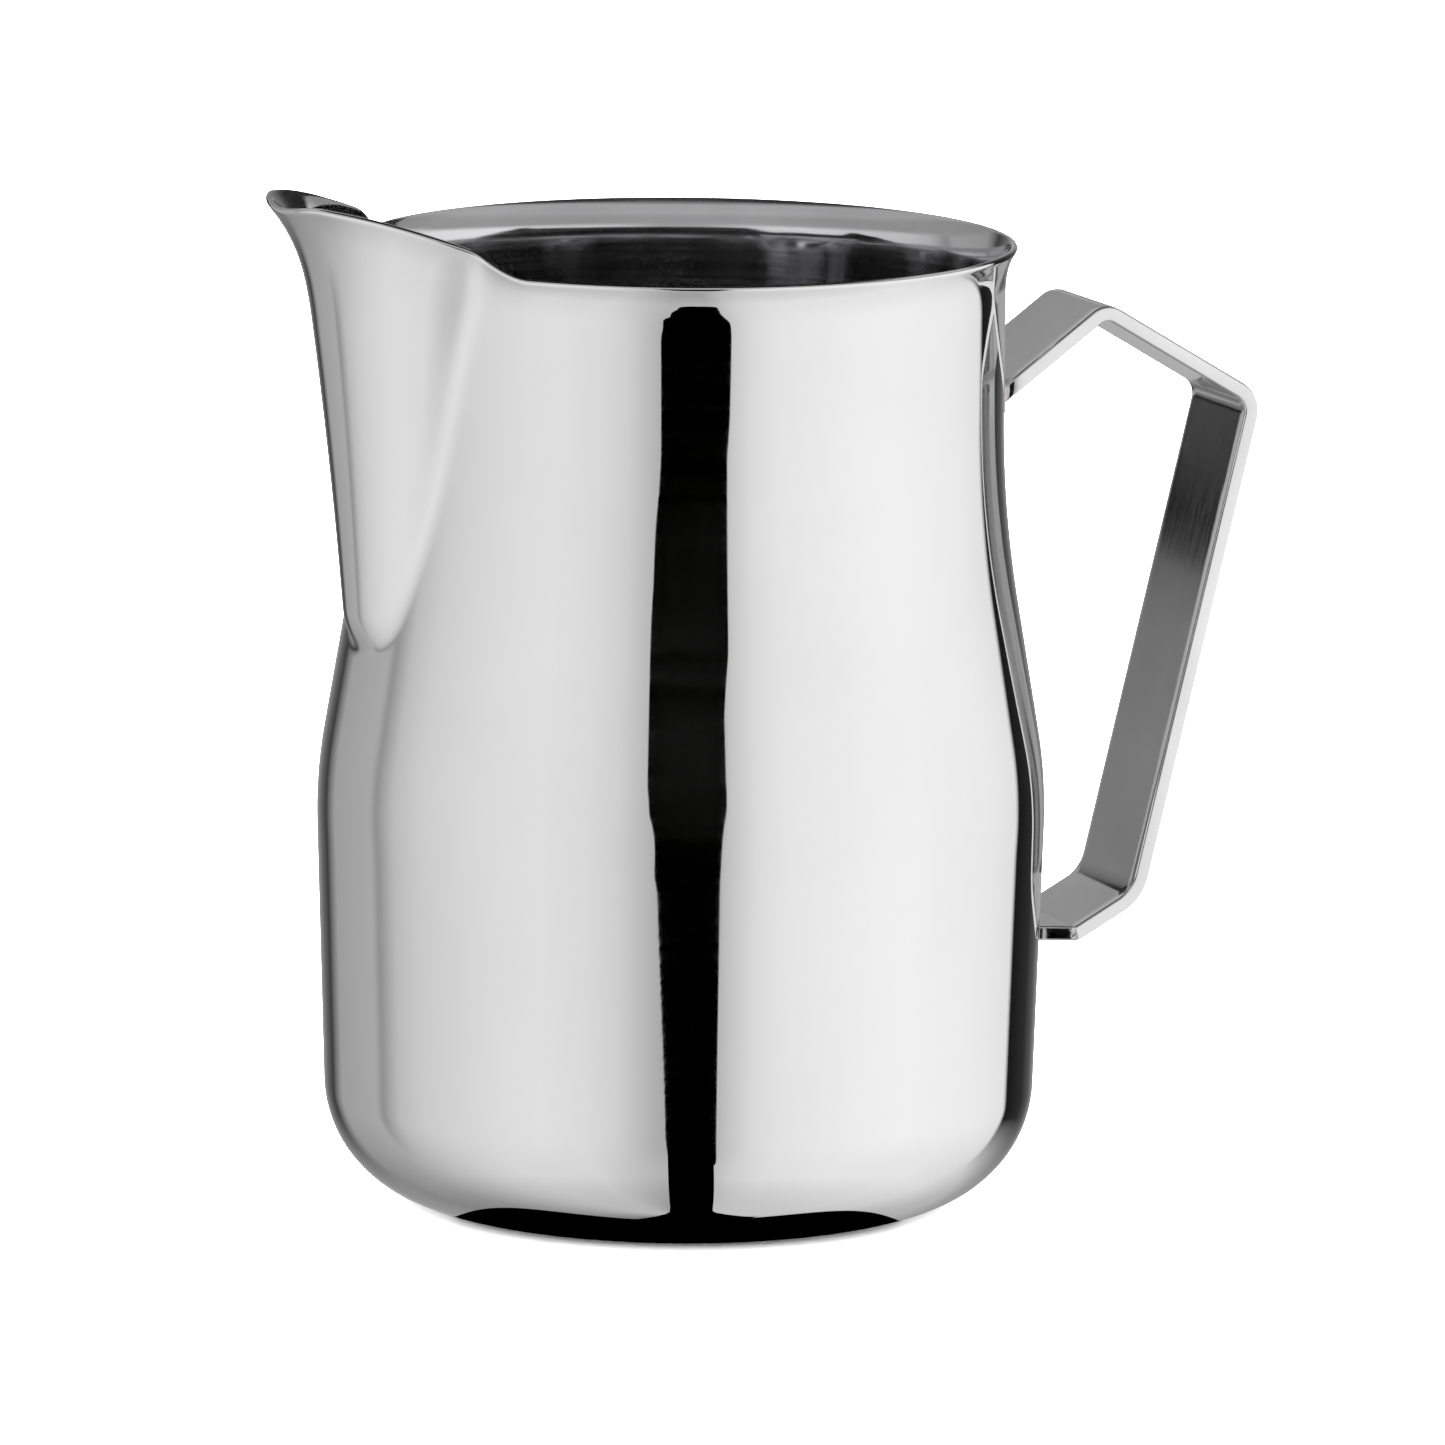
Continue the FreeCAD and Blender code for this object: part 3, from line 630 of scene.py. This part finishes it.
def graded_material(name, stops):
    """Glowing card whose brightness depends on the height above the floor."""
    made = material(name)
    nodes, links = made.node_tree.nodes, made.node_tree.links
    place = nodes.new("ShaderNodeTexCoord")
    parts = nodes.new("ShaderNodeSeparateXYZ")
    links.new(place.outputs["Object"], parts.inputs["Vector"])
    share = nodes.new("ShaderNodeMapRange")
    share.inputs["From Min"].default_value = stops[0][0]
    share.inputs["From Max"].default_value = stops[-1][0]
    links.new(parts.outputs["Z"], share.inputs["Value"])
    ramp = nodes.new("ShaderNodeValToRGB")
    low, high = stops[0][0], stops[-1][0]
    fill_ramp(ramp, [((height - low) / (high - low), level) for height, level in stops])
    links.new(share.outputs["Result"], ramp.inputs["Fac"])
    glow = nodes.new("ShaderNodeEmission")
    links.new(ramp.outputs["Color"], glow.inputs["Color"])
    output = nodes.new("ShaderNodeOutputMaterial")
    links.new(glow.outputs["Emission"], output.inputs["Surface"])
    return made


grip_edges = []
for height, _ in GRIP_TONES:
    reach = KNEE[0] + (ELBOW[0] - KNEE[0]) * (height / MM - KNEE[1]) / (ELBOW[1] - KNEE[1]) - STRIP
    middle = Vector((reach * MM, 0, height)) + GRIP_VIEW * GRIP_CARD_REACH
    grip_edges.append((middle - GRIP_ACROSS * GRIP_CARD_HALF, middle + GRIP_ACROSS * GRIP_CARD_HALF))
card("grip_card", grip_edges, graded_material("grip_card", GRIP_TONES))


# ---------------------------------------------------------------- surrounding light

# Brightness of the surroundings at eye level, by degrees from the camera's side towards its right.
AROUND = ((-180, 0.50), (-168, 0.28), (-160, 0.14), (-152, 0.05), (-147, 0.22), (-142, 0.40),
          (-116, 0.48), (-112, 0.33), (-109, 0.42), (-103, 0.60), (-92, 0.72), (-80, 0.79),
          (-60, 0.88), (-45, 0.91), (-30, 0.86), (-20, 0.77), (-13, 0.63), (-6, 0.50), (10, 0.50),
          (16, 0.68), (24, 0.86), (33, 0.95), (48, 1.00), (65, 1.05), (80, 1.07), (100, 1.04),
          (115, 1.00), (133, 0.90), (134.5, 0.01), (150, 0.03), (160, 0.10), (172, 0.33))
# The same further up, and below eye level.
RAISED = ((-180, 0.30), (-110, 0.38), (0, 0.42), (110, 0.40), (132, 0.38), (134.5, 0.02),
          (150, 0.03), (160, 0.08), (172, 0.20), (180, 0.30))
LOWERED = ((-180, 0.40), (-150, 0.30), (-120, 0.45), (-100, 0.62), (-80, 0.78), (-60, 0.88),
           (-30, 0.86), (-13, 0.66), (-6, 0.58), (10, 0.58), (20, 0.80), (33, 0.94), (60, 1.0),
           (100, 1.0), (125, 0.90), (150, 0.60), (180, 0.40))
TOP_LEVEL = 0.5
BRIGHTEST = 1.1
DIFFUSE_STRENGTH = 7.0

# How far each other band takes over at each height, and how much of the brightness is left there.
# Heights run from 0, straight down, through 0.5, level, to 1, straight up.
TO_LOWERED = ((0.22, 1.0), (0.36, 0.0))
TO_RAISED = ((0.605, 0.0), (0.64, 1.0))
TO_TOP = ((0.72, 0.0), (0.77, 1.0))
FALLOFF = ((0.0, 0.66), (0.15, 0.95), (0.37, 1.0), (0.86, 1.0), (0.90, 0.20), (0.93, 0.02))


def surroundings():
    """World that the steel mirrors by direction, and that lights matt surfaces evenly."""
    world = bpy.data.worlds.new("studio")
    world.use_nodes = True
    nodes, links = world.node_tree.nodes, world.node_tree.links
    nodes.clear()
    place = nodes.new("ShaderNodeTexCoord")

    def feed(socket, given):
        if isinstance(given, bpy.types.NodeSocket):
            links.new(given, socket)
        else:
            socket.default_value = given

    def value(operation, first, second):
        made = nodes.new("ShaderNodeMath")
        made.operation = operation
        feed(made.inputs[0], first)
        feed(made.inputs[1], second)
        return made.outputs["Value"]

    def along(axis):
        made = nodes.new("ShaderNodeVectorMath")
        made.operation = "DOT_PRODUCT"
        links.new(place.outputs["Generated"], made.inputs[0])
        made.inputs[1].default_value = axis
        return made.outputs["Value"]

    def ramp(fac, stops):
        made = nodes.new("ShaderNodeValToRGB")
        links.new(fac, made.inputs["Fac"])
        fill_ramp(made, stops)
        return made.outputs["Color"]

    def mix(factor, first, second):
        made = nodes.new("ShaderNodeMix")
        made.data_type = "FLOAT"
        feed(made.inputs["Factor"], factor)
        feed(made.inputs["A"], first)
        feed(made.inputs["B"], second)
        return made.outputs["Result"]

    def band(stops):
        return ramp(share, [(azimuth / 360 + 0.5, brightness / BRIGHTEST)
                            for azimuth, brightness in stops])

    turn = value("ARCTAN2", along(RIGHT), along(-AWAY))
    share = value("ADD", value("DIVIDE", turn, math.tau), 0.5)
    height = value("ADD", value("MULTIPLY", along(UP), 0.5), 0.5)
    painted = mix(ramp(height, TO_LOWERED), band(AROUND), band(LOWERED))
    painted = mix(ramp(height, TO_RAISED), painted, band(RAISED))
    painted = mix(ramp(height, TO_TOP), painted, TOP_LEVEL / BRIGHTEST)
    painted = value("MULTIPLY", value("MULTIPLY", painted, ramp(height, FALLOFF)), BRIGHTEST)
    path = nodes.new("ShaderNodeLightPath")
    strength = mix(path.outputs["Is Glossy Ray"], DIFFUSE_STRENGTH, painted)
    background = nodes.new("ShaderNodeBackground")
    background.inputs["Color"].default_value = (1, 1, 1, 1)
    links.new(strength, background.inputs["Strength"])
    output = nodes.new("ShaderNodeOutputWorld")
    links.new(background.outputs["Background"], output.inputs["Surface"])
    return world


scene.world = surroundings()

# Large soft light above, which the steel doesn't mirror.
OVERHEAD_SIZE, OVERHEAD_POWER = 2.4, 16.0
OVERHEAD_PLACE = (-0.3, 0.2, 2.2)
overhead = bpy.data.objects.new("overhead", bpy.data.lights.new("overhead", "AREA"))
overhead.data.shape = "RECTANGLE"
overhead.data.size = OVERHEAD_SIZE
overhead.data.size_y = OVERHEAD_SIZE
overhead.data.energy = OVERHEAD_POWER
overhead.location = staged(*OVERHEAD_PLACE)
overhead.visible_glossy = False
scene.collection.objects.link(overhead)

scene.view_settings.view_transform = "Standard"
scene.view_settings.look = "None"
scene.view_settings.exposure = 0.0
scene.view_settings.gamma = 1.0
